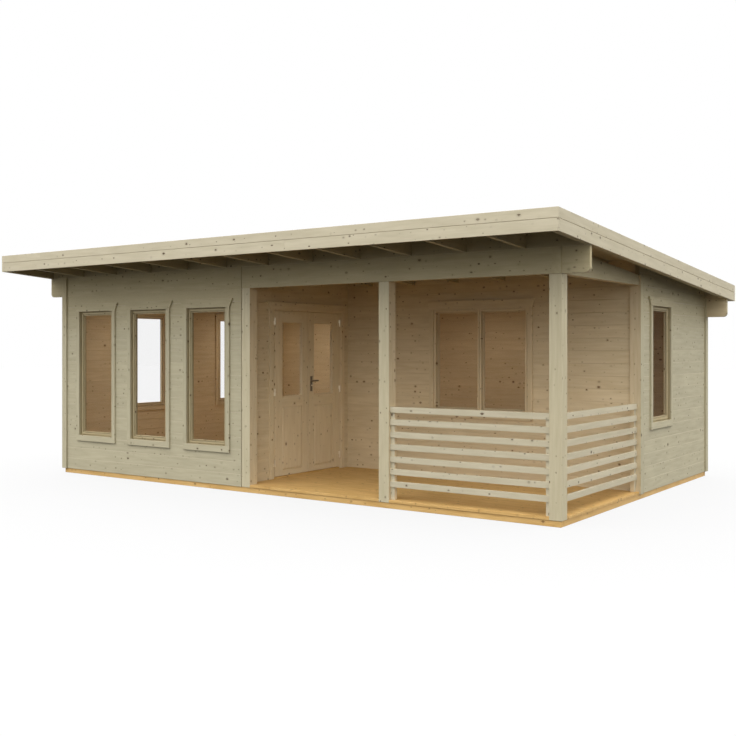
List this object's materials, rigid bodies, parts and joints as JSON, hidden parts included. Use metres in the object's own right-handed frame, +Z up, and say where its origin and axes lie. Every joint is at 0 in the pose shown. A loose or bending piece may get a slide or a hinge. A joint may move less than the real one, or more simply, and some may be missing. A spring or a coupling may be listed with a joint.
{
  "type": "garden house",
  "caption": "Log garden house on an L-shaped plan with a mono-pitch roof, a covered corner terrace with slatted balustrades, tall windows and a glazed double door.",
  "frame": {"origin": "on the ground under the middle of the roof's plan", "axes": "+X to the right along the front, +Y from the front to the back, +Z up"},
  "size_m": [7.316, 5.24, 2.6936],
  "materials": {
    "spruce": "satin",
    "floor_pine": "satin",
    "clear_glass": "gloss",
    "zinc_hinge": "satin",
    "dark_handle": "satin",
    "roof_felt": "matte"
  },
  "bodies": {
    "house": {"front_wall": "spruce", "left_wall": "spruce", "back_wall": "spruce", "right_wall": "spruce", "terrace_back_wall": "spruce", "door_wall_front": "spruce", "door_wall_rear": "spruce", "door_wall_head": "spruce", "corner_boards": "spruce", "terrace_posts": "spruce", "front_purlin": "spruce", "terrace_front_beam": "spruce", "terrace_side_beam": "spruce", "back_purlin": "spruce", "rafters": "spruce", "rafter_fillers": "spruce", "roof_boards": "spruce", "front_lower_fascia": "spruce", "front_upper_fascia": "spruce", "back_lower_fascia": "spruce", "back_upper_fascia": "spruce", "side_lower_fascias": "spruce", "side_upper_fascias": "spruce", "window_casings": "spruce", "window_inner_casings": "spruce", "window_frames": "spruce", "window_sashes": "spruce", "door_jambs": "spruce", "door_frame_head": "spruce", "door_stops": "spruce", "door_casing": "spruce", "front_balustrade": "spruce", "side_balustrade": "spruce", "long_bearers": "floor_pine", "cross_bearers": "floor_pine", "cabin_floor": "floor_pine", "terrace_floor": "floor_pine", "door_threshold": "floor_pine", "window_glass": "clear_glass", "frame_hinges": "zinc_hinge", "roof_felt": "roof_felt"},
    "left_door": {"left_door_leaf": "spruce", "left_door_glass": "clear_glass", "left_door_hinges": "zinc_hinge"},
    "right_door": {"right_door_leaf": "spruce", "right_door_glass": "clear_glass", "right_door_hinges": "zinc_hinge", "door_handles": "dark_handle"}
  },
  "joints": [
    {"name": "left_door_hinge", "type": "hinge", "parent": "house", "child": "left_door", "pos_m": [-0.357, -1.368, 1.065], "axis": [0, 0, -1], "range_deg": [0, 105]},
    {"name": "right_door_hinge", "type": "hinge", "parent": "house", "child": "right_door", "pos_m": [-0.357, -0.138, 1.065], "axis": [0, 0, 1], "range_deg": [0, 95]}
  ]
}
